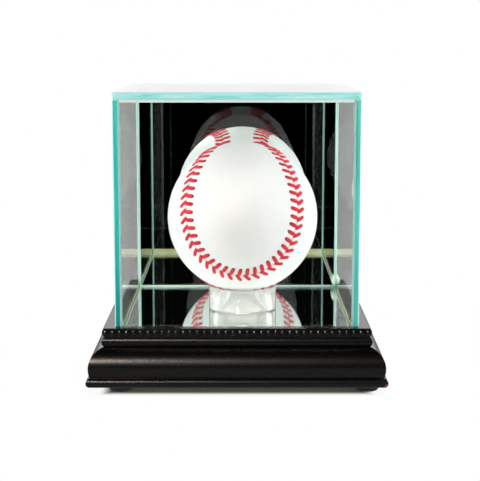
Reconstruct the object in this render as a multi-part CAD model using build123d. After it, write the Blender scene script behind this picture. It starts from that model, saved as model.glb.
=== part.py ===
from build123d import *
import os
from math import cos, pi, sin, sqrt

# A glass display case for one baseball, in millimetres.
# The origin is on the table under the middle of the base. +Z is up and the front faces -Y.

# Glass cover
cover_width = 110.6
cover_above_rim = 105.5
glass = 3.0
arris = 0.5
lid_corner_radius = 1.5
bond = 0.1
coating = 0.1

# Running gaps
cover_gap = 0.3
mirror_gap = 0.3
board_gap = 0.2

# Wooden base, whose width follows from the cover, the rim and the moulding
rim_land = 4.3
rail_width = 22.2
rail_height = 25.7
top_bead_height = 4.1
top_bead_bulge = 0.8
second_bead_height = 4.4
second_bead_bulge = 1.1
groove_inset = 7.8
torus_inset = 1.0
torus_step = 0.6
torus_top_drop = 8.7
lip_groove_inset = 1.7
lip_height = 4.3
lip_foot_inset = 1.2

# Rubber feet, stuck on a little to the right of the middle
foot_radius = 6.35
foot_taper = 1.4
foot_height = 3.5
foot_round = 0.4
foot_inset = 11.6
foot_shift = 3.1

# Floor of the case, from the rim down
mirror_drop = 2.6
mirror_glass = 2.0
mirror_arris = 0.3
tape = 0.3
tape_width = 14.0
tape_margin = 10.3
tape_inset = 20.3
board = 3.0

# Fixings
brad_radius = 0.6
brad_head_radius = 1.2
brad_head_height = 0.5
brad_length = 10.0
brad_inset = 3.5
brad_spacing = 50.0
vnail_steel = 0.6
vnail_leg = 4.0
vnail_height = 7.0
vnail_inset = 4.0
vnail_spacing = 8.0

# Ball and its stand
exhibit_offset = 2.6
ball_radius = 36.5
leather = 1.3
pill_radius = 17.5
stitch_count = 108
stitch_leg = 3.4
stitch_start = 0.75
stitch_lean = 52.0
thread_width = 1.1
thread_height = 0.4
thread_lift = 0.02
seam_waist = 21.5
ball_roll = 22.8
ball_pitch = 157.7
ball_heading = -41.3
stand_radius = 16.5
stand_bore_radius = 12.5
stand_height = 11.4
stand_seat_radius = 15.6
stand_chamfer = 0.3
seat_gap = 0.25

# Levels above the table and distances from the middle
cover_half = cover_width / 2
recess_half = cover_half + cover_gap
base_half = recess_half + rim_land + groove_inset
inner_half = base_half - rail_width
inside_half = cover_half - glass
foot_reach = base_half - foot_inset
brad_reach = inner_half + brad_inset
rim_level = foot_height + rail_height
mirror_level = rim_level - mirror_drop
tape_level = mirror_level - mirror_glass - coating
board_level = tape_level - tape
ledge_level = board_level - board
cover_top = rim_level + cover_above_rim
pane_top = cover_top - glass - bond
back_glass_face = cover_half - coating - glass
dish_radius = ball_radius + thread_lift + thread_height + seat_gap
ball_level = mirror_level + stand_height + sqrt(dish_radius**2 - stand_seat_radius**2)
ball_centre = Vector(exhibit_offset, 0, ball_level)
corners = {
    "front_left": (-1, -1),
    "front_right": (1, -1),
    "back_left": (-1, 1),
    "back_right": (1, 1),
}
rail_turns = {"front": 0, "right": 90, "back": 180, "left": 270}

nodes = {}


def box_between(low, high):
    """A box from its lowest corner to its highest corner."""
    size = [b - a for a, b in zip(low, high)]
    middle = [(a + b) / 2 for a, b in zip(low, high)]
    return Pos(*middle) * Box(*size)


def ground_plate(low, high, edge):
    """A glass plate with every edge ground to a small flat."""
    plate = box_between(low, high)
    return chamfer(plate.edges(), edge)


def rail_section():
    """The moulding's outline across the front rail: beads, torus, lip, rabbet and ledge."""
    groove = base_half - groove_inset
    lip_groove = base_half - lip_groove_inset
    torus_out = base_half - torus_inset
    first_groove_level = rim_level - top_bead_height
    torus_top = first_groove_level - second_bead_height
    lip_top = foot_height + lip_height
    with BuildSketch(Plane.YZ) as section:
        with BuildLine():
            ThreePointArc(
                (-groove, rim_level),
                (-groove - top_bead_bulge, rim_level - top_bead_height / 2),
                (-groove, first_groove_level),
            )
            ThreePointArc(
                (-groove, first_groove_level),
                (-groove - second_bead_bulge, first_groove_level - second_bead_height / 2),
                (-groove, torus_top),
            )
            Line((-groove, torus_top), (-groove - torus_step, torus_top))
            widest = (-torus_out, torus_top - torus_top_drop)
            TangentArc(widest, (-groove - torus_step, torus_top), tangent=(0, 1))
            TangentArc(widest, (-lip_groove, lip_top), tangent=(0, -1))
            ThreePointArc(
                (-lip_groove, lip_top),
                (-base_half, foot_height + lip_height / 2),
                (-base_half + lip_foot_inset, foot_height),
            )
            Polyline(
                (-base_half + lip_foot_inset, foot_height),
                (-inner_half, foot_height),
                (-inner_half, ledge_level),
                (-recess_half, ledge_level),
                (-recess_half, rim_level),
                (-groove, rim_level),
            )
        make_face()
    return section.sketch


def mitre_wedge():
    """The quarter of the base that the front rail fills, mitred at 45 degrees."""
    reach = base_half + 5
    outline = Polyline((0, 0), (-reach, -reach), (reach, -reach), (0, 0))
    return extrude(make_face(outline), amount=rim_level + 5)


def vnails():
    """V nails driven from below across the mitres, two in each corner."""
    leg = Pos(vnail_leg / 2, 0, foot_height + vnail_height / 2)
    leg = leg * Box(vnail_leg, vnail_steel, vnail_height)
    nail = Rot(0, 0, -45) * leg + Rot(0, 0, 45) * leg
    pair = []
    for place in range(2):
        out = inner_half + vnail_inset + place * vnail_spacing
        pair.append(Pos(-out, -out, 0) * Rot(0, 0, 225) * nail)
    return [Rot(0, 0, turn) * nail for turn in rail_turns.values() for nail in pair]


def brads():
    """Brads through the board into the ledge, two in each rail, heads flush with the board."""
    shank_height = brad_length - brad_head_height
    shank = Pos(0, 0, board_level - brad_length + shank_height / 2) * Cylinder(brad_radius, shank_height)
    head = Pos(0, 0, board_level - brad_head_height / 2) * Cylinder(brad_head_radius, brad_head_height)
    brad = shank + head
    pair = [Pos(side * brad_spacing / 2, -brad_reach, 0) * brad for side in (-1, 1)]
    return [Rot(0, 0, turn) * brad for turn in rail_turns.values() for brad in pair]


def make_base():
    """Rails, fixings, board, floor mirror and feet."""
    nail_list = vnails()
    brad_list = brads()
    front = extrude(rail_section(), amount=base_half, both=True) & mitre_wedge()
    front = front - nail_list - brad_list
    for side, turn in rail_turns.items():
        nodes[side + "_rail"] = Rot(0, 0, turn) * front
    nodes["corner_vnails"] = Compound(nail_list)
    nodes["board_brads"] = Compound(brad_list)

    half = recess_half - board_gap
    nodes["floor_board"] = box_between((-half, -half, ledge_level), (half, half, board_level)) - brad_list
    tape_length = 2 * (inside_half - tape_margin)
    strips = []
    for side in (-1, 1):
        middle = Pos(0, side * (inside_half - tape_inset), board_level + tape / 2)
        strips.append(middle * Box(tape_length, tape_width, tape))
    nodes["mirror_tape"] = Compound(strips)

    side_edge = inside_half - mirror_gap
    front_edge = -inside_half + mirror_gap
    back_edge = back_glass_face - mirror_gap
    coating_level = tape_level + coating
    nodes["floor_mirror_glass"] = ground_plate(
        (-side_edge, front_edge, coating_level), (side_edge, back_edge, mirror_level), mirror_arris
    )
    nodes["floor_mirror_coating"] = box_between(
        (-side_edge + mirror_arris, front_edge + mirror_arris, tape_level),
        (side_edge - mirror_arris, back_edge - mirror_arris, coating_level),
    )

    foot = Cone(foot_radius - foot_taper, foot_radius, foot_height, align=(Align.CENTER, Align.CENTER, Align.MIN))
    foot = fillet(foot.edges().sort_by(Axis.Z)[0], foot_round)
    for name, (side, depth) in corners.items():
        nodes[name + "_foot"] = Pos(foot_shift + side * foot_reach, depth * foot_reach, 0) * foot


def make_cover():
    """Five glass plates and the cured adhesive between them."""
    for name, side in (("left", -1), ("right", 1)):
        inner, outer = sorted((side * inside_half, side * cover_half))
        nodes[name + "_pane"] = ground_plate(
            (inner, -cover_half, board_level), (outer, cover_half, pane_top), arris
        )
    between = inside_half - bond
    nodes["front_pane"] = ground_plate(
        (-between, -cover_half, board_level), (between, -inside_half, pane_top), arris
    )
    back_edge = back_glass_face + glass
    nodes["back_mirror_glass"] = ground_plate(
        (-between, back_glass_face, board_level), (between, back_edge, pane_top), arris
    )
    nodes["back_mirror_coating"] = box_between(
        (-between + arris, back_edge, board_level + arris), (between - arris, cover_half, pane_top - arris)
    )
    lid = box_between((-cover_half, -cover_half, cover_top - glass), (cover_half, cover_half, cover_top))
    lid = fillet(lid.edges().filter_by(Axis.Z), lid_corner_radius)
    flats = lid.faces().filter_by(Axis.Z).edges()
    nodes["top_pane"] = chamfer(flats, arris)

    low = board_level + arris
    high = pane_top - arris
    seams = {"front": (-cover_half + arris, -inside_half - arris), "back": (back_glass_face + arris, back_edge - arris)}
    for depth, (near, far) in seams.items():
        nodes[depth + "_left_bond"] = box_between((-inside_half, near, low), (-between, far, high))
        nodes[depth + "_right_bond"] = box_between((between, near, low), (inside_half, far, high))
    outer = cover_half - arris
    inner = inside_half + arris
    ring_height = (pane_top, pane_top + bond)
    ring = box_between((-outer, -outer, ring_height[0]), (outer, outer, ring_height[1]))
    nodes["top_bond"] = ring - box_between((-inner, -inner, ring_height[0]), (inner, inner, ring_height[1]))


def make_stand():
    """A clear ring, dished on top to the ball's curve."""
    ring = Cylinder(stand_radius, stand_height) - Cylinder(stand_bore_radius, stand_height)
    ring = chamfer(ring.edges(), stand_chamfer)
    ring = Pos(exhibit_offset, 0, mirror_level + stand_height / 2) * ring
    nodes["ball_stand"] = ring - Pos(*ball_centre) * Sphere(dish_radius)


def seam_point(t):
    """A point of the seam on a sphere of radius 1, before the ball is turned."""
    waist = seam_waist / (2 * ball_radius)
    b = (1 - waist) / 2
    a = 1 - b
    return Vector(
        a * cos(t) + b * cos(3 * t),
        a * sin(t) - b * sin(3 * t),
        2 * sqrt(a * b) * sin(2 * t),
    )


def even_seam_places():
    """The seam's parameter at every stitch, at equal steps along the seam."""
    steps = 4000
    lengths = [0.0]
    last = seam_point(0)
    for k in range(1, steps + 1):
        point = seam_point(2 * pi * k / steps)
        lengths.append(lengths[-1] + (point - last).length)
        last = point
    places = []
    k = 0
    for stitch in range(stitch_count):
        wanted = lengths[-1] * stitch / stitch_count
        while lengths[k + 1] < wanted:
            k += 1
        places.append(2 * pi * k / steps)
    return places


def stitches():
    """Two legs for each stitch, open towards the stitch before, lying on the leather."""
    legs = []
    lean = stitch_lean * pi / 180
    middle = stitch_start + stitch_leg / 2
    for t in even_seam_places():
        normal = seam_point(t)
        ahead = (seam_point(t - 0.001) - seam_point(t + 0.001)).normalized()
        across = normal.cross(ahead)
        for side in (-1, 1):
            direction = ahead * cos(lean) + across * (side * sin(lean))
            point = (normal * ball_radius + direction * middle).normalized()
            place = Plane(origin=point * (ball_radius + thread_lift), x_dir=direction, z_dir=point)
            leg = Box(stitch_leg, thread_width, thread_height, align=(Align.CENTER, Align.CENTER, Align.MIN))
            legs.append(place.location * leg)
    return legs


def seam_ribbon():
    """A closed strip through the ball's centre lines that parts the two leather panels."""
    count = 72
    points = [seam_point(2 * pi * k / count) for k in range(count)]
    inner = Edge.make_spline([p * (ball_radius - 3 * leather) for p in points], periodic=True)
    outer = Edge.make_spline([p * (ball_radius + 3 * leather) for p in points], periodic=True)
    return Face.make_surface_from_curves(inner, outer)


def make_ball():
    """Pill, windings, two leather panels and the stitches, each turned as the ball lies."""
    place = Pos(*ball_centre) * Rot(0, 0, ball_heading) * Rot(0, ball_pitch, 0) * Rot(ball_roll, 0, 0)
    wound_radius = ball_radius - leather
    nodes["ball_pill"] = place * Sphere(pill_radius)
    nodes["ball_windings"] = place * (Sphere(wound_radius) - Sphere(pill_radius))
    hide = Sphere(ball_radius) - Sphere(wound_radius)
    panels = hide.split(seam_ribbon(), keep=Keep.BOTH)
    for letter, panel in zip("ab", panels):
        nodes["ball_cover_panel_" + letter] = place * panel
    nodes["ball_stitches"] = Compound([place * leg for leg in stitches()])


make_base()
make_cover()
make_stand()
make_ball()
os.makedirs("parts", exist_ok=True)
for name, shape in nodes.items():
    export_step(shape, "parts/" + name + ".step")
print(len(nodes), "nodes, ball centre at", round(ball_level, 2), "cover top at", round(cover_top, 2))
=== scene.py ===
"""A glass display case for one baseball: looks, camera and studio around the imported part."""

import math

import bmesh
import bpy
from mathutils import Matrix, Vector, kdtree


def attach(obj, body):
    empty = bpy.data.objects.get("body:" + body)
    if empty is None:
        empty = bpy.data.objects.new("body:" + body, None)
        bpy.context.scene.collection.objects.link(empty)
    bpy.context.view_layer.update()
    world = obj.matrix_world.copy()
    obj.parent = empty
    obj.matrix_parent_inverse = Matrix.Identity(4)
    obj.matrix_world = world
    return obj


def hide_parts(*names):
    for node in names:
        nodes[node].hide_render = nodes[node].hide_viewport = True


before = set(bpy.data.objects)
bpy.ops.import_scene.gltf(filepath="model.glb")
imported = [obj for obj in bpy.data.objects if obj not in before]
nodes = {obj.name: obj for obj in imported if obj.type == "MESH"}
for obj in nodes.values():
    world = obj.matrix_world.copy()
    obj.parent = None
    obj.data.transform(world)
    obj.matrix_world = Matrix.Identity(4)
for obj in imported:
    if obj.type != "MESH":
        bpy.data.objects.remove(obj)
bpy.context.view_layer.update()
MM = 0.001

# The photographer's camera, just above the rim and pitched down
view_pitch = 0.15625
camera_place = (0.00137, -0.6310, 0.1592)
lens = bpy.data.cameras.new("camera")
lens.sensor_fit = "HORIZONTAL"
lens.sensor_width = 36.0
lens.lens = 97.48
camera = bpy.data.objects.new("camera", lens)
camera.location = camera_place
camera.rotation_euler = (math.pi / 2 - view_pitch, 0.0, 0.0)
bpy.context.scene.collection.objects.link(camera)
bpy.context.scene.camera = camera

# Levels and distances of the real case, in millimetres
rim_level = 29.2
board_level = 24.2
mirror_under = 24.6
mirror_level = 26.6
ledge_level = 21.2
foot_height = 3.5
inner_half = 45.5
recess_half = 55.6
groove = 59.9
lip_groove = 66.0
torus_out = 66.7
base_half = 67.7
cover_half = 55.3
inside_half = 52.3
pane_half = 52.2
silver_depth = 55.2
mirror_half = 52.0
mirror_back_edge = 51.9
pane_top = 131.6
lid_bottom = 131.7
lid_top = 134.7
exhibit_offset = 2.6
ball_level = 71.74
ball_radius = 36.5
dish_radius = 37.17

# Each visual plate stays this far inside its solid, and a silvered one laps its coating
clear = 0.02
bite = 0.03


# Shader tools


class Value:
    """A shader socket whose arithmetic adds Math nodes."""

    def __init__(self, look, socket):
        self.look = look
        self.socket = socket

    def math(self, operation, *others):
        node = self.look.tree.nodes.new("ShaderNodeMath")
        node.operation = operation
        for place, item in enumerate((self,) + others):
            self.look.feed(node.inputs[place], item)
        return Value(self.look, node.outputs[0])

    def __add__(self, other):
        return self.math("ADD", other)

    def __mul__(self, other):
        return self.math("MULTIPLY", other)

    def __sub__(self, other):
        return self.math("SUBTRACT", other)

    def __rsub__(self, other):
        return (self * -1.0) + other

    def __abs__(self):
        return self.math("ABSOLUTE")

    __radd__ = __add__
    __rmul__ = __mul__

    def between(self, low, high):
        """0 below low and 1 above high, or the reverse where low is the larger."""
        settings = {"interpolation_type": "SMOOTHSTEP"}
        if low > high:
            return 1.0 - self.between(high, low)
        return self.look.add("ShaderNodeMapRange", settings, {0: self, 1: low, 2: high})


class Look:
    """A material or a world, with its node tree."""

    def __init__(self, holder):
        self.holder = holder
        holder.use_nodes = True
        self.tree = holder.node_tree
        self.tree.nodes.clear()

    def feed(self, socket, item):
        if isinstance(item, Value):
            self.tree.links.new(item.socket, socket)
        elif hasattr(item, "__len__") and socket.type == "RGBA":
            socket.default_value = tuple(item) + (1.0,) * (4 - len(item))
        else:
            socket.default_value = item

    def add(self, kind, settings, sockets, out=0):
        """A node of this type: its settings come first, then its sockets' values or links."""
        node = self.tree.nodes.new(kind)
        for name, setting in settings.items():
            if name == "stops":
                ramp = node.color_ramp
                for place, (position, colour) in enumerate(setting):
                    stop = ramp.elements[place] if place < 2 else ramp.elements.new(position)
                    stop.position = position
                    stop.color = tuple(colour) + (1.0,)
            else:
                setattr(node, name, setting)
        for name, item in sockets.items():
            self.feed(node.inputs[name], item)
        return Value(self, node.outputs[out])

    def place(self, scale=(1.0, 1.0, 1.0)):
        """Object coordinates in millimetres, stretched by scale."""
        spot = self.add("ShaderNodeTexCoord", {}, {}, "Object")
        stretch = tuple(1000.0 * s for s in scale)
        return self.add("ShaderNodeMapping", {}, {"Vector": spot, "Scale": stretch})

    def noise(self, scale, detail=2.0, stretch=(1.0, 1.0, 1.0)):
        """Soft noise from 0 to 1, with scale in features per millimetre."""
        sockets = {"Vector": self.place(stretch), "Scale": scale, "Detail": detail}
        return self.add("ShaderNodeTexNoise", {}, sockets)

    def axis(self, name):
        """One object coordinate in millimetres."""
        return self.add("ShaderNodeSeparateXYZ", {}, {0: self.place()}, name)

    def near(self, x, y, z):
        """Distance in millimetres from a point."""
        settings = {"operation": "DISTANCE"}
        return self.add("ShaderNodeVectorMath", settings, {0: self.place(), 1: (x, y, z)}, "Value")

    def facing(self, name):
        """One component of the surface's own normal."""
        normal = self.add("ShaderNodeTexCoord", {}, {}, "Normal")
        return self.add("ShaderNodeSeparateXYZ", {}, {0: normal}, name)

    def ramp(self, value, *stops):
        return self.add("ShaderNodeValToRGB", {"stops": stops}, {"Fac": value})

    def blend(self, factor, first, second):
        """Two colours mixed."""
        settings = {"data_type": "RGBA"}
        return self.add("ShaderNodeMix", settings, {0: factor, 6: first, 7: second}, 2)

    def bump(self, height, depth):
        """A normal from a height of 0 to 1 that stands for depth millimetres."""
        return self.add("ShaderNodeBump", {}, {"Height": height, "Distance": depth * MM})

    def gloss(self, **sockets):
        """A Principled shader, with _ for each space in a socket's name."""
        named = {name.replace("_", " "): item for name, item in sockets.items()}
        return self.add("ShaderNodeBsdfPrincipled", {}, named)

    def either(self, factor, first, second):
        """Two shaders mixed."""
        return self.add("ShaderNodeMixShader", {}, {0: factor, 1: first, 2: second})

    def ray(self, name):
        """One of the facts about the ray that meets this surface."""
        return self.add("ShaderNodeLightPath", {}, {}, name)

    def show(self, shader):
        """Join a shader to the output, and hand back the material or world."""
        in_world = isinstance(self.holder, bpy.types.World)
        kind = "ShaderNodeOutputWorld" if in_world else "ShaderNodeOutputMaterial"
        node = self.tree.nodes.new(kind)
        self.tree.links.new(shader.socket, node.inputs["Surface"])
        return self.holder


def new_look(name):
    return Look(bpy.data.materials.new(name))


# Materials

lip_chip = (67.1, -67.1, 4.6)
rubbed_corner = (66.0, -66.0, 7.0)
coat_share = 0.4


def black_lacquer(name, satin, ior):
    """Satin black paint over open-pored wood, worn to the wood at one corner of the lip."""
    look = new_look(name)
    grain = look.noise(0.35, 4.0, (0.25, 1.0, 1.0))
    dust = look.noise(2.6, 3.0)
    chip_edge = look.noise(1.6, 3.0) * 1.2
    chip = (look.near(*lip_chip) + chip_edge).between(1.75, 1.5)
    rub = (look.near(*rubbed_corner) + look.noise(0.9, 2.0) * 3.0).between(4.2, 3.0) * 0.25
    paint = look.ramp(grain, (0.3, (0.0012, 0.0011, 0.0010)), (0.7, (0.0026, 0.0023, 0.0021)))
    colour = look.blend(chip, look.blend(rub, paint, (0.05, 0.03, 0.02)), (0.20, 0.07, 0.04))
    level = look.facing("Z").between(0.9, 0.99)
    rough = satin + dust * 0.10 + chip * 0.4 - level * 0.14
    normal = look.bump(grain * 0.7 + dust * 0.3, 0.05)
    coat = coat_share - level * coat_share
    paint_film = look.gloss(
        Base_Color=colour,
        Roughness=rough,
        Normal=normal,
        IOR=ior,
        Coat_Weight=coat,
        Coat_Roughness=0.12,
    )
    return look.show(paint_film)


def raw_wood():
    """Pale unpainted wood with black overspray towards the rim."""
    look = new_look("raw_wood")
    grain = look.noise(0.5, 5.0, (0.12, 0.12, 1.0))
    fibre = look.noise(3.0, 2.0, (0.1, 0.1, 1.0))
    wood = look.ramp(grain, (0.25, (0.72, 0.64, 0.36)), (0.75, (0.90, 0.83, 0.54)))
    spray = (look.axis("Z") + look.noise(1.2, 3.0) * 0.5).between(29.1, 29.4)
    colour = look.blend(spray, wood, (0.02, 0.018, 0.015))
    normal = look.bump(fibre, 0.06)
    return look.show(look.gloss(Base_Color=colour, Roughness=0.72 + fibre * 0.15, Normal=normal))


def plain_look(name, dark, light, rough, scale, depth, metallic=0.0):
    """A mottled finish for the pieces that hardly show."""
    look = new_look(name)
    grain = look.noise(scale, 3.0)
    colour = look.ramp(grain, (0.3, dark), (0.7, light))
    normal = look.bump(grain, depth)
    mottled = rough + grain * 0.12
    return look.show(look.gloss(Base_Color=colour, Roughness=mottled, Metallic=metallic, Normal=normal))


def clear_look(name, tint, ior, through, clarity=1.0):
    """Clear glass or plastic that lets the lamps through."""
    look = new_look(name)
    glass = look.gloss(Base_Color=tint, Roughness=0.0, IOR=ior, Transmission_Weight=clarity)
    open_way = look.add("ShaderNodeBsdfTransparent", {}, {"Color": through})
    return look.show(look.either(look.ray("Is Shadow Ray"), glass, open_way))


def glass_edge(name, stretch, *teals):
    """The teal of a plate's cut edge, in fine streaks along it."""
    look = new_look(name)
    broad = look.noise(0.55, 1.0, stretch)
    fine = look.noise(1.8, 2.0, stretch)
    streak = broad * 0.65 + fine * 0.35
    colour = look.ramp(streak, *zip((0.32, 0.48, 0.58, 0.72), teals))
    return look.show(look.gloss(Base_Color=colour, Roughness=0.12, IOR=1.5, Coat_Weight=0.3))


def frosted_arris(name, dull, bright):
    """A ground edge, pale with small chips."""
    look = new_look(name)
    grit = look.noise(2.4, 4.0)
    colour = look.ramp(grit, (0.3, dull), (0.7, bright))
    normal = look.bump(grit, 0.05)
    return look.show(look.gloss(Base_Color=colour, Roughness=0.42, Normal=normal))


def mirror_back(name, axis, sign):
    """Silver towards the glass and grey backing paint on the other side."""
    look = new_look(name)
    silver = (look.facing(axis) * sign).between(0.4, 0.6)
    patch = look.noise(0.9, 5.0)
    paint = look.ramp(patch, (0.3, (0.125, 0.13, 0.135)), (0.7, (0.145, 0.15, 0.155)))
    colour = look.blend(silver, paint, (0.86, 0.90, 0.88))
    rough = 0.55 - silver * 0.55
    normal = look.bump(look.noise(1.5, 3.0) * (1.0 - silver), 0.03)
    return look.show(look.gloss(Base_Color=colour, Roughness=rough, Metallic=silver, Normal=normal))


def cured_adhesive(name):
    """Clear glue seen from its edge, a little milky."""
    look = new_look(name)
    milk = look.noise(0.8, 3.0)
    colour = look.ramp(milk, (0.3, (0.68, 0.86, 0.72)), (0.7, (0.84, 0.95, 0.84)))
    return look.show(look.gloss(Base_Color=colour, Roughness=0.25, Transmission_Weight=0.3, IOR=1.47))


def white_leather():
    """White leather, finely grained, with the dark line where the two panels meet and painted shade beside
    it.
    """
    look = new_look("white_leather")
    seam = abs(look.add("ShaderNodeAttribute", {"attribute_name": "seam_distance"}, {}, "Fac"))
    pores = look.add("ShaderNodeTexVoronoi", {}, {"Vector": look.place(), "Scale": 1.5}, "Distance")
    crease = look.noise(0.25, 4.0)
    tone = look.ramp(crease, (0.3, (0.80, 0.81, 0.83)), (0.7, (0.83, 0.84, 0.863)))
    line = (seam + look.noise(0.8, 2.0) * 0.12).between(0.30, 0.14)
    # Painted shade: the leather turns grey within about 1.6 mm of the seam, where it dips into the groove.
    shade = seam.between(1.6, 0.3) * 0.18
    colour = look.blend(line, look.blend(shade, tone, (0.60, 0.56, 0.54)), (0.52, 0.42, 0.40))
    height = pores * 0.2 + crease * 0.2 + seam.between(0.1, 0.5)
    normal = look.bump(height, 0.06)
    rough = 0.48 + pores * 0.1
    return look.show(look.gloss(Base_Color=colour, Roughness=rough, Normal=normal, Coat_Weight=0.08))


def red_thread():
    """Waxed red thread, with painted shade where it goes into the leather."""
    look = new_look("red_waxed_thread")
    reach = look.add("ShaderNodeAttribute", {"attribute_name": "along"}, {}, "Fac")
    twist = look.noise(2.2, 2.0)
    # Painted shade: near black at each leg's end away from the seam, and a little darker at the end by it.
    colour = look.ramp(
        reach + (twist - 0.5) * 0.15,
        (0.0, (0.40, 0.010, 0.022)),
        (0.12, (0.60, 0.013, 0.034)),
        (0.84, (0.62, 0.015, 0.038)),
        (0.96, (0.05, 0.004, 0.008)),
    )
    normal = look.bump(twist, 0.12)
    return look.show(look.gloss(Base_Color=colour, Roughness=0.6, Normal=normal, Sheen_Weight=0.05))


lacquer = black_lacquer("black_satin_lacquer", 0.23, 1.5)
pearl_lacquer = black_lacquer("black_pearl_lacquer", 0.15, 1.7)
bare_wood = raw_wood()
clear_glass = clear_look("clear_float_glass", (0.982, 0.998, 0.986), 1.5, (0.975, 0.988, 0.982))
clear_acrylic = clear_look("clear_acrylic", (0.995, 1.0, 0.995), 1.49, (0.98, 0.99, 0.98), 0.84)

# Each cut edge's colours from dark to light, and the way that its streaks run. The teal is the glass's
# own;
# how pale or dark each set is, is painted light and shade: level and mirror edges paler, the left pane's
# edge and the front pane's edges in the corners darker.
streaks_up = (1.0, 1.0, 0.02)
streaks_along = (0.12, 0.12, 1.0)
deep_teals = ((0.07, 0.44, 0.36), (0.125, 0.66, 0.57), (0.20, 0.74, 0.65), (0.46, 0.86, 0.77))
pale_teals = ((0.22, 0.66, 0.60), (0.34, 0.80, 0.74), (0.44, 0.86, 0.80), (0.62, 0.90, 0.85))
left_teals = ((0.022, 0.35, 0.31), (0.034, 0.53, 0.48), (0.05, 0.62, 0.57), (0.26, 0.80, 0.73))
lid_teals = ((0.25, 0.78, 0.73), (0.40, 0.92, 0.87), (0.50, 0.96, 0.92), (0.74, 0.98, 0.95))
dim_teals = ((0.08, 0.20, 0.18), (0.14, 0.30, 0.27), (0.20, 0.38, 0.34), (0.30, 0.48, 0.44))
edge_upright = glass_edge("teal_edge_upright", streaks_up, *deep_teals)
edge_left = glass_edge("teal_edge_left", streaks_up, *left_teals)
edge_mirror = glass_edge("teal_edge_mirror", streaks_up, *pale_teals)
edge_level = glass_edge("teal_edge_level", streaks_along, *lid_teals)
edge_inner = glass_edge("teal_edge_inner", streaks_up, *dim_teals)
arris_look = frosted_arris("ground_arris", (0.64, 0.86, 0.78), (0.90, 0.97, 0.91))
upright_arris = frosted_arris("ground_upright_arris", (0.42, 0.74, 0.67), (0.62, 0.88, 0.81))
mirror_arris = frosted_arris("ground_mirror_arris", (0.40, 0.66, 0.60), (0.58, 0.78, 0.72))

# A plate's materials, in the order of the slots that glass_plate gives its faces
glass_looks = (clear_glass, edge_upright, edge_level, arris_look, upright_arris)
left_looks = (clear_glass, edge_left, edge_level, arris_look, upright_arris)
front_looks = (clear_glass, edge_inner, edge_level, arris_look, upright_arris)
mirror_looks = (clear_glass, edge_mirror, edge_level, mirror_arris, mirror_arris)

leather = white_leather()
thread = red_thread()
rubber = plain_look("rubber_bumper", (0.012, 0.012, 0.012), (0.03, 0.03, 0.03), 0.6, 1.6, 0.05)

node_looks = {
    "floor_board": plain_look("hardboard", (0.10, 0.055, 0.03), (0.19, 0.11, 0.06), 0.6, 1.2, 0.08),
    "board_brads": plain_look("steel_brads", (0.35, 0.35, 0.36), (0.5, 0.5, 0.5), 0.3, 1.0, 0.02, 1.0),
    "corner_vnails": plain_look("steel_v_nails", (0.30, 0.30, 0.31), (0.5, 0.5, 0.5), 0.3, 0.8, 0.02, 1.0),
    "mirror_tape": plain_look("foam_tape", (0.62, 0.60, 0.52), (0.74, 0.72, 0.65), 0.7, 2.0, 0.05),
    "ball_pill": plain_look("cork_and_rubber", (0.08, 0.03, 0.02), (0.25, 0.14, 0.08), 0.75, 0.9, 0.2),
    "ball_windings": plain_look("wool_yarn", (0.30, 0.28, 0.25), (0.55, 0.52, 0.47), 0.9, 1.4, 0.3),
    "floor_mirror_coating": mirror_back("floor_mirror_silver", "Z", 1.0),
    "back_mirror_coating": mirror_back("back_mirror_silver", "Y", -1.0),
}
bond_look = cured_adhesive("cured_adhesive")
for end in ("front_left", "front_right", "back_left", "back_right", "top"):
    node_looks[end + "_bond"] = bond_look
for name, material in node_looks.items():
    for place in nodes[name].material_slots:
        place.material = material


# Mesh tools

touch = 0.1 * MM
hair = 0.01 * MM
square_on = 0.9
edge_angle = 0.6
faces_clear, edge_slot, level_slot, arris_slot, upright_slot = range(5)


def placed(centre, size):
    """What gives a unit shape this centre and these half sizes, in millimetres."""
    spot = Matrix.Translation([c * MM for c in centre])
    return spot @ Matrix.Diagonal([h * MM for h in size] + [1.0])


def make_piece(bm, name, looks, body, slot, *replaced, smooth=None):
    """Put a mesh on its body, in place of the nodes that it stands for."""
    mesh = bpy.data.meshes.new(name)
    if smooth:
        for face in bm.faces:
            face.smooth = True
    bm.to_mesh(mesh)
    bm.free()
    if smooth:
        mesh.set_sharp_from_angle(angle=math.radians(smooth))
    for look in looks:
        mesh.materials.append(look)
    piece = bpy.data.objects.new(name, mesh)
    bpy.context.scene.collection.objects.link(piece)
    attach(piece, body)
    if replaced:
        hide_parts(*replaced)


def bevel(bm, edges, width, segments, material=-1):
    bmesh.ops.bevel(
        bm,
        geom=edges,
        offset=width * MM,
        offset_type="OFFSET",
        segments=segments,
        profile=0.5,
        affect="EDGES",
        clamp_overlap=True,
        material=material,
    )


def block(low, high):
    """A box between two corners, in millimetres."""
    bm = bmesh.new()
    size = Vector([(b - a) * MM for a, b in zip(low, high)])
    middle = Vector([(a + b) / 2 * MM for a, b in zip(low, high)])
    spot = Matrix.Translation(middle) @ Matrix.Diagonal(size.to_4d())
    bmesh.ops.create_cube(bm, size=1.0, matrix=spot)
    bm.normal_update()
    return bm


def split(bm, point, normal, clear_outer=False):
    """Cut the whole mesh with a plane."""
    everything = bm.verts[:] + bm.edges[:] + bm.faces[:]
    bmesh.ops.bisect_plane(
        bm,
        geom=everything,
        dist=1e-7,
        plane_co=point,
        plane_no=normal,
        clear_outer=clear_outer,
    )


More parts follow.
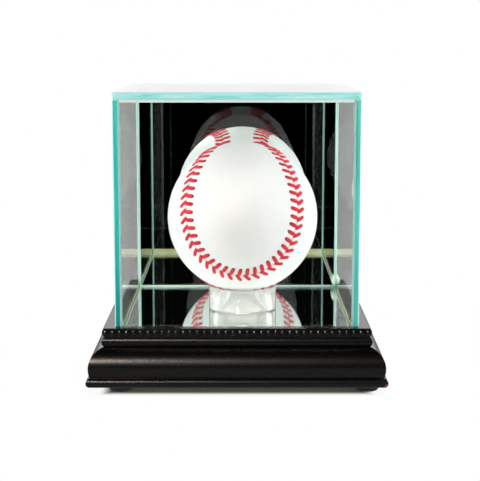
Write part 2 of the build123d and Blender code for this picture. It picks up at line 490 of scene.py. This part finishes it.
def glass_plate(
    name, node, body, slot, low, high, thin,
    ground=0.5, looks=glass_looks, wide=0.0, strip=0.0, corner=0.0,
):
    """Clear faces across the thin way, teal cut edges and frosted arrises.

    Ground is the width of the arrises, and wide that of the top back one. Strip is the
    height of a frosted band at the top of the front, and corner rounds the plate's plan.
    """
    bm = block([a + clear for a in low], [b - clear for b in high])
    for face in bm.faces:
        if abs(face.normal[thin]) > square_on:
            face.material_index = faces_clear
        elif thin == 2 or abs(face.normal.z) > square_on:
            face.material_index = level_slot
        else:
            face.material_index = edge_slot
    if corner:
        uprights = [e for e in bm.edges if abs(e.verts[0].co.z - e.verts[1].co.z) > MM]
        bevel(bm, uprights, corner, 6, level_slot)
        bm.normal_update()
    if wide:
        top = max(v.co.z for v in bm.verts) - touch
        far = max(v.co.y for v in bm.verts) - touch
        shown = [e for e in bm.edges if all(v.co.z > top and v.co.y > far for v in e.verts)]
        bevel(bm, shown, wide, 1, arris_slot)
        bm.normal_update()
    sharp = [e for e in bm.edges if len(e.link_faces) == 2 and e.calc_face_angle() > edge_angle]
    if thin == 2:
        bottom = min(v.co.z for v in bm.verts) + touch
        sharp = [e for e in sharp if any(v.co.z > bottom for v in e.verts)]
    bevel(bm, sharp, ground, 1, arris_slot)
    bm.normal_update()
    for face in bm.faces:
        if face.material_index == arris_slot and abs(face.normal.z) < 0.1:
            face.material_index = upright_slot if face.normal.y < 0 else edge_slot
    if strip:
        height = (high[2] - strip) * MM
        split(bm, (0, 0, height), (0, 0, 1))
        for face in bm.faces:
            if face.normal.y < -square_on and face.calc_center_median().z > height:
                face.material_index = arris_slot
    make_piece(bm, name, looks, body, slot, node)


def turned(profile, centre, steps):
    """A closed outline of (radius, height) spun about an upright line."""
    bm = bmesh.new()
    ring = [bm.verts.new(((centre[0] + r) * MM, centre[1] * MM, z * MM)) for r, z in profile]
    edges = [bm.edges.new((a, b)) for a, b in zip(ring, ring[1:] + ring[:1])]
    middle = (centre[0] * MM, centre[1] * MM, 0.0)
    bmesh.ops.spin(
        bm,
        geom=ring + edges,
        cent=middle,
        axis=(0, 0, 1),
        dvec=(0, 0, 0),
        angle=2 * math.pi,
        steps=steps,
        use_merge=True,
    )
    bmesh.ops.remove_doubles(bm, verts=bm.verts, dist=1e-6)
    bmesh.ops.recalc_face_normals(bm, faces=bm.faces)
    return bm


# Glass cover and floor mirror

glass_plate(
    "left_glass", "left_pane", "cover", "clear_glass",
    (-cover_half, -cover_half, board_level), (-inside_half, cover_half, pane_top), 0, looks=left_looks,
)
glass_plate(
    "right_glass", "right_pane", "cover", "clear_glass",
    (inside_half, -cover_half, board_level), (cover_half, cover_half, pane_top), 0,
)
glass_plate(
    "front_glass", "front_pane", "cover", "clear_glass",
    (-pane_half, -cover_half, board_level), (pane_half, -inside_half, pane_top), 1,
    ground=0.3, strip=1.5, looks=front_looks,
)
glass_plate(
    "back_mirror", "back_mirror_glass", "cover", "mirror_glass",
    (-pane_half, pane_half, board_level), (pane_half, silver_depth + bite, pane_top), 1,
    looks=mirror_looks,
)
glass_plate(
    "lid_glass", "top_pane", "cover", "clear_glass",
    (-cover_half, -cover_half, lid_bottom), (cover_half, cover_half, lid_top), 2,
    ground=0.35, corner=1.5,
)
glass_plate(
    "floor_mirror", "floor_mirror_glass", "base", "mirror_glass",
    (-mirror_half, -mirror_half, mirror_under - bite), (mirror_half, mirror_back_edge, mirror_level), 2,
    ground=0.35, wide=0.9,
)


# Wooden moulding


def arc_through(a, b, c, steps):
    """Points of the circle through three points of the section, from a to c."""
    ax, az = a
    bx, bz = b
    cx, cz = c
    cross = 2 * (ax * (bz - cz) + bx * (cz - az) + cx * (az - bz))
    squares = [ax * ax + az * az, bx * bx + bz * bz, cx * cx + cz * cz]
    mx = (squares[0] * (bz - cz) + squares[1] * (cz - az) + squares[2] * (az - bz)) / cross
    mz = (squares[0] * (cx - bx) + squares[1] * (ax - cx) + squares[2] * (bx - ax)) / cross
    radius = math.hypot(ax - mx, az - mz)
    start = math.atan2(az - mz, ax - mx)
    end = math.atan2(cz - mz, cx - mx)
    turns = [start + (end - start) * k / steps for k in range(steps + 1)]
    return [(mx + radius * math.cos(turn), mz + radius * math.sin(turn)) for turn in turns]


def quarter(widest, end, steps):
    """The torus from its widest point, where it is upright, to an end of its curve."""
    run = widest[0] - end[0]
    rise = abs(end[1] - widest[1])
    radius = (run * run + rise * rise) / (2 * run)
    sweep = math.asin(rise / radius) if radius > rise else math.pi / 2
    if run > radius:
        sweep = math.pi - sweep
    sign = 1 if end[1] > widest[1] else -1
    middle = widest[0] - radius
    turns = [sweep * k / steps for k in range(steps + 1)]
    return [(middle + radius * math.cos(t), widest[1] + sign * radius * math.sin(t)) for t in turns]


# The section's beads, torus and lip: levels, and how far each stands out of its groove
bead_mid = 27.15
bead_bulge = 0.2
bead_low = 25.1
second_bead_mid = 22.9
second_bead_bulge = 1.1
torus_top = 20.7
torus_step = 0.6
torus_mid = 12.0
lip_top = 7.8
lip_mid = 5.65
lip_foot_inset = 1.2
bead = arc_through((groove, rim_level), (groove + bead_bulge, bead_mid), (groove, bead_low), 6)
second_widest = (groove + second_bead_bulge, second_bead_mid)
second_bead = arc_through((groove, bead_low), second_widest, (groove, torus_top), 10)
torus_widest = (torus_out, torus_mid)
torus_upper = quarter(torus_widest, (groove + torus_step, torus_top), 14)
torus_lower = quarter(torus_widest, (lip_groove, lip_top), 8)
lip_foot = (base_half - lip_foot_inset, foot_height)
lip = arc_through((lip_groove, lip_top), (base_half, lip_mid), lip_foot, 10)
painted = bead + second_bead[1:] + torus_upper[::-1] + torus_lower[1:] + lip[1:]
bare = [
    (inner_half, foot_height),
    (inner_half, ledge_level),
    (recess_half, ledge_level),
    (recess_half, rim_level),
]
rail_reach = 75.0


def turn_about_middle(bm, degrees):
    turned_about = Matrix.Rotation(math.radians(degrees), 3, "Z")
    bmesh.ops.rotate(bm, cent=(0, 0, 0), matrix=turned_about, verts=bm.verts)


def wooden_rail(name, turn):
    """One length of moulding, mitred at both ends, black outside and bare wood inside."""
    bm = bmesh.new()
    reach = rail_reach * MM
    outline = [bm.verts.new((-reach, -out * MM, z * MM)) for out, z in painted + bare]
    start = bm.faces.new(outline)
    drawn = bmesh.ops.extrude_face_region(bm, geom=[start])
    moved = [v for v in drawn["geom"] if isinstance(v, bmesh.types.BMVert)]
    bmesh.ops.translate(bm, vec=(2 * reach, 0, 0), verts=moved)
    for side in (-1, 1):
        split(bm, (0, 0, 0), (side, 1, 0), clear_outer=True)
        open_edges = [e for e in bm.edges if e.is_boundary]
        bmesh.ops.holes_fill(bm, edges=open_edges, sides=0)
    bmesh.ops.recalc_face_normals(bm, faces=bm.faces)
    for face in bm.faces:
        middle = face.calc_center_median()
        inward = face.normal.y > 0.5 and middle.y > -recess_half * MM - hair
        mitre = abs(face.normal.x) > 0.3
        under = middle.z < foot_height * MM + hair
        ledge = face.normal.z > square_on and abs(middle.z - ledge_level * MM) < hair
        face.material_index = 1 if inward or mitre or under or ledge else 0
    turn_about_middle(bm, turn)
    looks = (lacquer, bare_wood)
    make_piece(bm, name + "_moulding", looks, "base", "lacquered_wood", name + "_rail", smooth=38)


pearl_count = 38
pearl_pitch = 3.2
pearl_out = 60.05
pearl_level = 27.1
pearl_size = (1.55, 0.95, 1.6)


def pearl_string(name, turn):
    """The row of embossed pearls along the top bead."""
    bm = bmesh.new()
    for place in range(pearl_count):
        x = (place - (pearl_count - 1) / 2) * pearl_pitch
        spot = placed((x, -pearl_out, pearl_level), pearl_size)
        bmesh.ops.create_icosphere(bm, subdivisions=2, radius=1.0, matrix=spot)
    turn_about_middle(bm, turn)
    make_piece(bm, name + "_pearls", (pearl_lacquer,), "base", "lacquered_wood", smooth=80)


for side, turn in (("front", 0), ("right", 90), ("back", 180), ("left", 270)):
    wooden_rail(side, turn)
    pearl_string(side, turn)


# Rubber feet

foot_radius = 6.33
foot_shift = 3.1
foot_reach = 56.1
foot_profile = [(0.0, foot_height), (foot_radius, foot_height)]
foot_profile += [(foot_radius - 0.2 * k, foot_height - 0.45 * k) for k in range(1, 6)]
foot_profile += [(5.15, 0.75), (4.9, 0.3), (4.5, 0.06), (3.9, 0.0), (0.0, 0.0)]
corners = {"front_left": (-1, -1), "front_right": (1, -1), "back_left": (-1, 1), "back_right": (1, 1)}
for end, (side, depth) in corners.items():
    bm = turned(foot_profile, (foot_shift + side * foot_reach, depth * foot_reach), 48)
    make_piece(bm, end + "_bumper", (rubber,), "base", "rubber", end + "_foot", smooth=40)


# Clear ring under the ball


def dish(radius):
    """Height of the dished top, which follows the ball."""
    return ball_level - math.sqrt(dish_radius**2 - radius**2)


# The outline goes up the bore, out along the dish and the rim, and down the outside
stand_foot = mirror_level + clear
ring_bore = 12.5
ring_out = 16.5
ring_profile = [(12.8, stand_foot), (12.55, stand_foot + 0.25)]
ring_profile += [(ring_bore, stand_foot + 1.0), (ring_bore, dish(ring_bore) - 0.3), (12.7, dish(12.7))]
ring_profile += [(r, dish(r)) for r in (13.3, 13.9, 14.5, 15.1, 15.6)]
ring_profile += [(16.1, 38.0), (16.42, 37.9), (ring_out, 37.6)]
ring_profile += [(ring_out, stand_foot + 0.4), (16.4, stand_foot + 0.1), (16.2, stand_foot)]
ring = turned(ring_profile, (exhibit_offset, 0.0), 128)
make_piece(ring, "acrylic_ring", (clear_acrylic,), "base", "acrylic", "ball_stand", smooth=35)


# Baseball

seam_waist = 21.5
ball_heading = -41.3
ball_pitch = 157.7
ball_roll = 22.8


def seam_point(t):
    """A point of the seam on a sphere of radius 1, before the ball is turned."""
    waist = seam_waist / (2 * ball_radius)
    b = (1 - waist) / 2
    a = 1 - b
    return Vector((
        a * math.cos(t) + b * math.cos(3 * t),
        a * math.sin(t) - b * math.sin(3 * t),
        2 * math.sqrt(a * b) * math.sin(2 * t),
    ))


ball_place = (
    Matrix.Translation((exhibit_offset * MM, 0.0, ball_level * MM))
    @ Matrix.Rotation(math.radians(ball_heading), 4, "Z")
    @ Matrix.Rotation(math.radians(ball_pitch), 4, "Y")
    @ Matrix.Rotation(math.radians(ball_roll), 4, "X")
)


def even_places(count):
    """The seam's parameter at equal steps along it."""
    steps = 4000
    lengths = [0.0]
    last = seam_point(0.0)
    for k in range(1, steps + 1):
        point = seam_point(2 * math.pi * k / steps)
        lengths.append(lengths[-1] + (point - last).length)
        last = point
    places = []
    k = 0
    for stitch in range(count):
        while lengths[k + 1] < lengths[-1] * stitch / count:
            k += 1
        places.append(2 * math.pi * k / steps)
    return places


def leather_ball():
    """Both leather panels: a sphere that swells beside the seam and dips at it."""
    bm = bmesh.new()
    bmesh.ops.create_icosphere(bm, subdivisions=7, radius=1.0)
    count = 1600
    seam = kdtree.KDTree(count)
    for k in range(count):
        seam.insert(seam_point(2 * math.pi * k / count).normalized(), k)
    seam.balance()
    distance = bm.verts.layers.float.new("seam_distance")
    for vert in bm.verts:
        spot, k, gap = seam.find(vert.co)
        ahead = seam_point(2 * math.pi * (k + 1) / count) - seam_point(2 * math.pi * (k - 1) / count)
        across = spot.cross(ahead).normalized()
        away = (vert.co - spot).dot(across) * ball_radius
        signed = away if gap * ball_radius < 3.0 else math.copysign(gap * ball_radius, away)
        vert[distance] = signed
        ridge = 0.16 * math.exp(-(((abs(signed) - 1.4) / 1.3) ** 2))
        dip = 0.22 * math.exp(-((signed / 0.55) ** 2))
        swell = ridge - dip
        vert.co = vert.co * (ball_radius + swell) * MM
    bmesh.ops.transform(bm, matrix=ball_place, verts=bm.verts)
    return bm


stitch_count = 108
leg_length = 5.3
leg_middle = 2.2
leg_half_width = 1.02
leg_half_height = 0.5
leg_lift = 0.06


def raised_stitches():
    """Two thread legs for each stitch, like long grains half sunk in the leather."""
    bm = bmesh.new()
    along = bm.verts.layers.float.new("along")
    leans = {-1: math.radians(62.0), 1: math.radians(80.0)}
    shifts = {-1: -1.0, 1: 0.0}
    for t in even_places(stitch_count):
        normal = seam_point(t).normalized()
        ahead = (seam_point(t - 0.001) - seam_point(t + 0.001)).normalized()
        across = normal.cross(ahead)
        for side in (-1, 1):
            direction = ahead * math.cos(leans[side]) + across * (side * math.sin(leans[side]))
            point = (normal * ball_radius + direction * leg_middle + ahead * shifts[side]).normalized()
            direction = (direction - point * direction.dot(point)).normalized()
            sideways = point.cross(direction)
            grain = Matrix.Identity(4)
            grain.col[0] = (sideways * leg_half_width * MM).to_4d()
            grain.col[1] = (point * leg_half_height * MM).to_4d()
            grain.col[2] = (direction * leg_length / 2 * MM).to_4d()
            grain.col[3] = (point * (ball_radius + leg_lift) * MM).to_4d()
            grain[3][0] = grain[3][1] = grain[3][2] = 0.0
            grain[3][3] = 1.0
            made = bmesh.ops.create_uvsphere(bm, u_segments=8, v_segments=7, radius=1.0)
            for vert in made["verts"]:
                vert[along] = vert.co.z / 2 + 0.5
                girth = math.hypot(vert.co.x, vert.co.y)
                if girth > 0.01:
                    vert.co.x *= girth**-0.4
                    vert.co.y *= girth**-0.4
            bmesh.ops.transform(bm, matrix=grain, verts=made["verts"])
    bmesh.ops.recalc_face_normals(bm, faces=bm.faces)
    bmesh.ops.transform(bm, matrix=ball_place, verts=bm.verts)
    return bm


panels = ("ball_cover_panel_a", "ball_cover_panel_b")
make_piece(leather_ball(), "ball_leather", (leather,), "ball", "leather", *panels, smooth=60)
make_piece(raised_stitches(), "red_stitches", (thread,), "ball", "thread", "ball_stitches", smooth=80)


# A drop of clear glue in a back corner


def glue_drop(name, centre, size):
    bm = bmesh.new()
    bmesh.ops.create_uvsphere(bm, u_segments=20, v_segments=12, radius=1.0, matrix=placed(centre, size))
    make_piece(bm, name, (bond_look,), "cover", "adhesive", smooth=80)


glue_drop("back_corner_drop", (51.2, 51.1, 30.4), (1.05, 1.05, 2.3))


# Table, lamps and world

plain = (1.0, 1.0, 1.0)

# How much brighter than white the backdrop is through glass, where the photo is overexposed
glare = 0.6


def stage_plane(name, size, height):
    """A square sheet below the object, in metres."""
    bm = bmesh.new()
    spot = Matrix.Translation((0.0, 0.0, height)) @ Matrix.Diagonal((size, size, 1.0, 1.0))
    bmesh.ops.create_grid(bm, x_segments=1, y_segments=1, size=0.5, matrix=spot)
    mesh = bpy.data.meshes.new(name)
    bm.to_mesh(mesh)
    bm.free()
    plane = bpy.data.objects.new(name, mesh)
    bpy.context.scene.collection.objects.link(plane)
    return plane


def straight_sight(look):
    """Whether a ray has crossed both faces of one pane or of two, with no mirror on its way."""
    return abs(look.ray("Ray Depth") - 3.0).math("COMPARE", 1.0, 0.1)


def emission(look, strength):
    return look.add("ShaderNodeEmission", {}, {"Color": plain, "Strength": strength})


def table_look():
    """White to the camera and through glass, with a soft contact shadow under the base: the real one on a
    faint matt layer, and a painted shadow where the table's emission fades out below the base's outline.

    The mirrors show it dim, and dark where it lies in front of the object.
    """
    look = new_look("white_table")
    through = look.ray("Is Transmission Ray")
    bounced = look.ray("Is Glossy Ray") - through
    seen = look.ray("Is Camera Ray").math("MAXIMUM", look.ray("Is Glossy Ray")).math("MAXIMUM", through)
    away = look.near(0.0, 0.0, 0.0).between(85.0, 120.0)
    # Painted shadow: the emission fades out under the base's square outline, whatever the lamps do.
    reach = (abs(look.axis("X")) + 4.0).math("MAXIMUM", abs(look.axis("Y")))
    lit = 0.02 + reach.between(60.5, 66.5) * 0.86
    in_front = look.axis("Y").between(-58.0, -62.0)
    far_in_front = look.axis("Y").between(-165.0, -175.0)
    unlit = (in_front * through * (1.0 - straight_sight(look))).math("MAXIMUM", far_in_front * bounced)
    matte = look.add("ShaderNodeBsdfDiffuse", {}, {"Color": (0.8, 0.8, 0.8)})
    faint = look.add("ShaderNodeBsdfDiffuse", {}, {"Color": (0.22, 0.22, 0.22)})
    glow_with_painted_shadow = emission(look, lit)
    white = emission(look, 1.0 + through * glare)
    dim = emission(look, 0.2)
    dark = emission(look, 0.0)
    contact = look.add("ShaderNodeAddShader", {}, {0: faint, 1: glow_with_painted_shadow})
    shown = look.either(bounced, look.either(away, contact, white), dim)
    return look.show(look.either(seen, matte, look.either(unlit, shown, dark)))


table = stage_plane("table", 8.0, -clear * MM)
table.data.materials.append(table_look())


mirrored_light = (0.97, 1.0, 0.95)


def softbox(name, place, aim, size, power, colour=plain, shine=False, fill=True):
    """A lamp: shine lets gloss and glass see it, and fill lets it light matt surfaces."""
    lamp = bpy.data.lights.new(name, "AREA")
    lamp.shape = "RECTANGLE"
    lamp.size, lamp.size_y = size
    lamp.energy = power
    lamp.color = colour
    holder = bpy.data.objects.new(name, lamp)
    holder.location = place
    holder.rotation_euler = (Vector(aim) - Vector(place)).to_track_quat("-Z", "Y").to_euler()
    holder.visible_transmission = shine
    holder.visible_glossy = shine
    holder.visible_diffuse = fill
    holder.visible_camera = False
    bpy.context.scene.collection.objects.link(holder)


case_low = (0.0, 0.0, 0.06)
case_middle = (0.0, 0.0, 0.07)
key_place = (-0.35, -1.15, 0.66)
gleam_place = (-0.37, -1.15, 0.66)
softbox("front_softbox", key_place, case_low, (0.20, 0.34), 1.0, (1.0, 0.97, 0.95), shine=True)
softbox("front_gleam", gleam_place, case_low, (0.20, 0.30), 8.4, (1.0, 0.86, 0.75), shine=True, fill=False)
softbox("left_fill", (-1.3, -0.15, 0.11), case_middle, (0.8, 0.2), 12.0)
softbox("right_fill", (1.3, -0.15, 0.11), case_middle, (0.8, 0.2), 13.0)
softbox("overhead_fill", (0.2, -0.15, 1.3), (0.0, 0.0, 0.05), (1.2, 0.9), 6.3)
softbox("low_fill", (0.35, -1.5, 0.13), case_middle, (1.2, 0.22), 7.4, (0.95, 0.98, 1.0))
softbox("back_fill", (0.0, 1.3, 1.0), case_middle, (1.2, 0.8), 8.0)

# Weak lamps inside the case, for the light that the mirrors would throw back
above_floor = (0.0, 0.0, 0.1)
ring_place = (exhibit_offset * MM, 0.0, 0.0274)
above_ring = (exhibit_offset * MM, 0.0, 0.1)
junction_place = (0.0, 0.0505, 0.034)
rail_place = (0.0, -0.046, 0.0288)
softbox("back_mirror_bounce", (0.0, 0.050, 0.078), (0.0, 0.0, 0.078), (0.10, 0.10), 0.032, mirrored_light)
softbox("floor_mirror_bounce", (0.0, 0.0, 0.0272), above_floor, (0.10, 0.10), 0.027, mirrored_light)
softbox("ring_bounce", ring_place, above_ring, (0.016, 0.016), 0.0024, mirrored_light)
softbox("junction_bounce", junction_place, (0.0, 0.0515, 0.0), (0.10, 0.003), 0.004, mirrored_light)
softbox("rail_bounce", rail_place, (0.0, -0.1, 0.0270), (0.10, 0.003), 0.024, (1.0, 0.98, 0.80))


def studio_world():
    """White to the camera and straight through glass, and a dark room in front for mirrors."""
    world = bpy.data.worlds.new("studio")
    bpy.context.scene.world = world
    look = Look(world)
    toward = look.add("ShaderNodeTexCoord", {}, {}, "Generated")
    depth = look.add("ShaderNodeSeparateXYZ", {}, {0: toward}, "Y")
    height = look.add("ShaderNodeSeparateXYZ", {}, {0: toward}, "Z")
    behind = depth.between(-0.2, 0.05) * height.between(0.6, 0.3)
    above = height.between(0.24, 0.4)
    through = look.ray("Is Transmission Ray")
    mirrored = look.ray("Is Glossy Ray").math("MAXIMUM", through)
    in_front = through * straight_sight(look) * depth.between(0.05, -0.2) * height.between(0.4, 0.24)
    room = 0.002 + behind * (1.0 + through * glare) + through * above * glare + in_front
    strength = mirrored * room + (1.0 - mirrored) * 0.10
    direct = look.ray("Is Camera Ray")
    white = direct + (1.0 - direct) * strength
    return look.show(look.add("ShaderNodeBackground", {}, {"Color": plain, "Strength": white}))


studio_world()
bpy.context.scene.view_settings.view_transform = "Standard"
